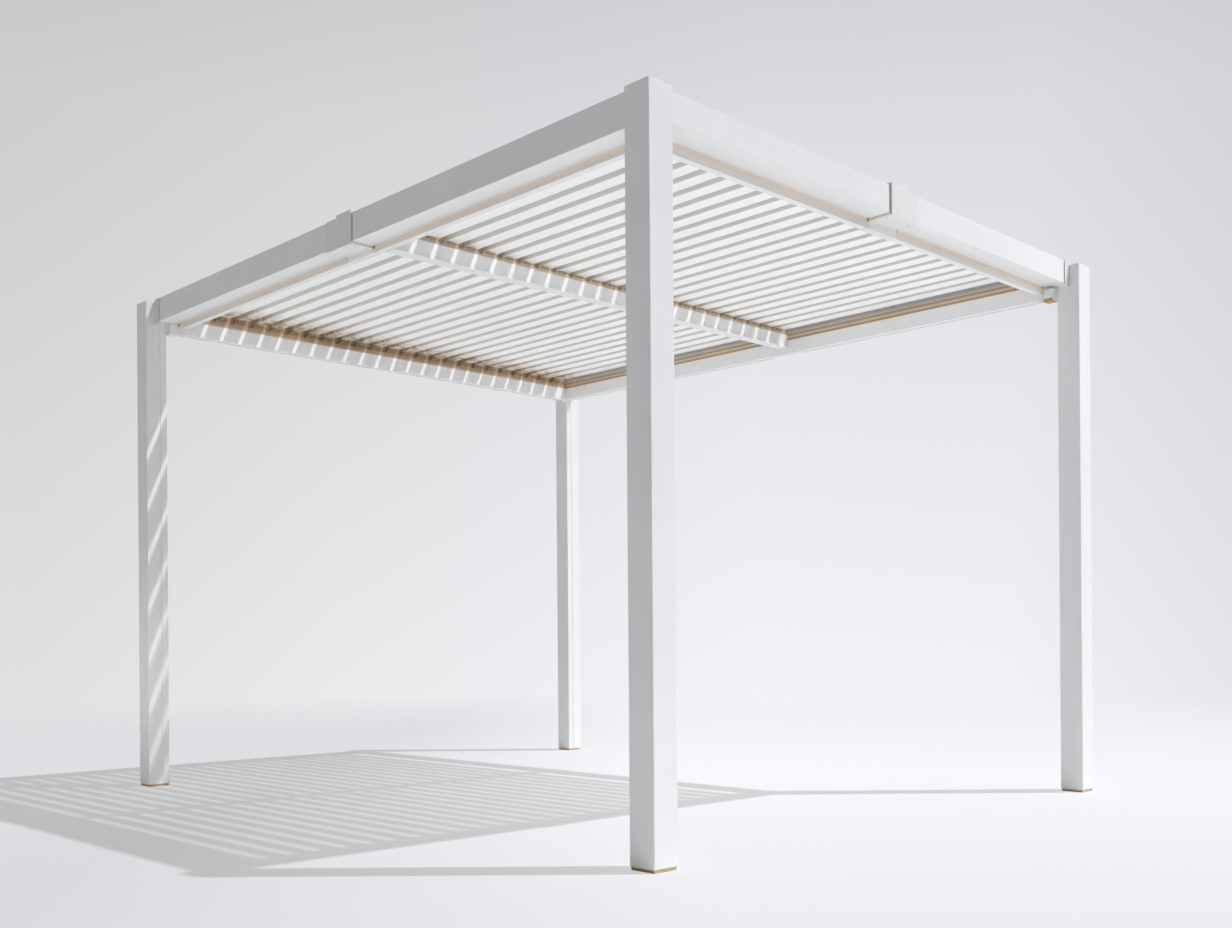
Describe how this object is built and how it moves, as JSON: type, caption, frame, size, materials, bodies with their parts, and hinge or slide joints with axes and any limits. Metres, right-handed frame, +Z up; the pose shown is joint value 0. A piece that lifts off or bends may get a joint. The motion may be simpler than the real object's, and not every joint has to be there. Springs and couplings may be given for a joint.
{
  "type": "louvred pergola",
  "caption": "White free-standing metal pergola with square posts, a ring of gutter beams and a slatted roof in two bays.",
  "frame": {"origin": "middle of the footprint, on the ground", "axes": "+X along the long side, +Y from the front side to the back side, +Z up"},
  "size_m": [3.6, 2.92, 2.444],
  "materials": {
    "white_frame": "satin",
    "white_slats": "satin",
    "tan_rails": "satin",
    "beige_trim": "satin",
    "tan_feet": "satin"
  },
  "bodies": {
    "root": {"back_beam_left": "white_frame", "back_beam_right": "white_frame", "collars_back_left": "white_frame", "collars_back_right": "white_frame", "collars_front_left": "white_frame", "collars_front_right": "white_frame", "edge_rail_back": "tan_rails", "edge_rail_front": "tan_rails", "foot_plate_back_left": "tan_feet", "foot_plate_back_right": "tan_feet", "foot_plate_front_left": "tan_feet", "foot_plate_front_right": "tan_feet", "front_beam_left": "white_frame", "front_beam_right": "white_frame", "gutter_trim_back": "beige_trim", "gutter_trim_front": "beige_trim", "gutter_trim_left": "beige_trim", "gutter_trim_right": "beige_trim", "left_beam_back": "white_frame", "left_beam_front": "white_frame", "middle_beam": "white_frame", "post_back_left": "white_frame", "post_back_right": "white_frame", "post_cap_back_left": "white_frame", "post_cap_back_right": "white_frame", "post_cap_front_left": "white_frame", "post_cap_front_right": "white_frame", "post_front_left": "white_frame", "post_front_right": "white_frame", "right_beam_back": "white_frame", "right_beam_front": "white_frame", "slat_rail_left_inner": "tan_rails", "slat_rail_left_outer": "tan_rails", "slat_rail_right_inner": "tan_rails", "slat_rail_right_outer": "tan_rails", "slats_left_bay": "white_slats", "slats_right_bay": "white_slats", "splice_sleeve_back": "white_frame", "splice_sleeve_front": "white_frame", "splice_sleeve_left": "white_frame", "splice_sleeve_right": "white_frame"}
  },
  "joints": []
}
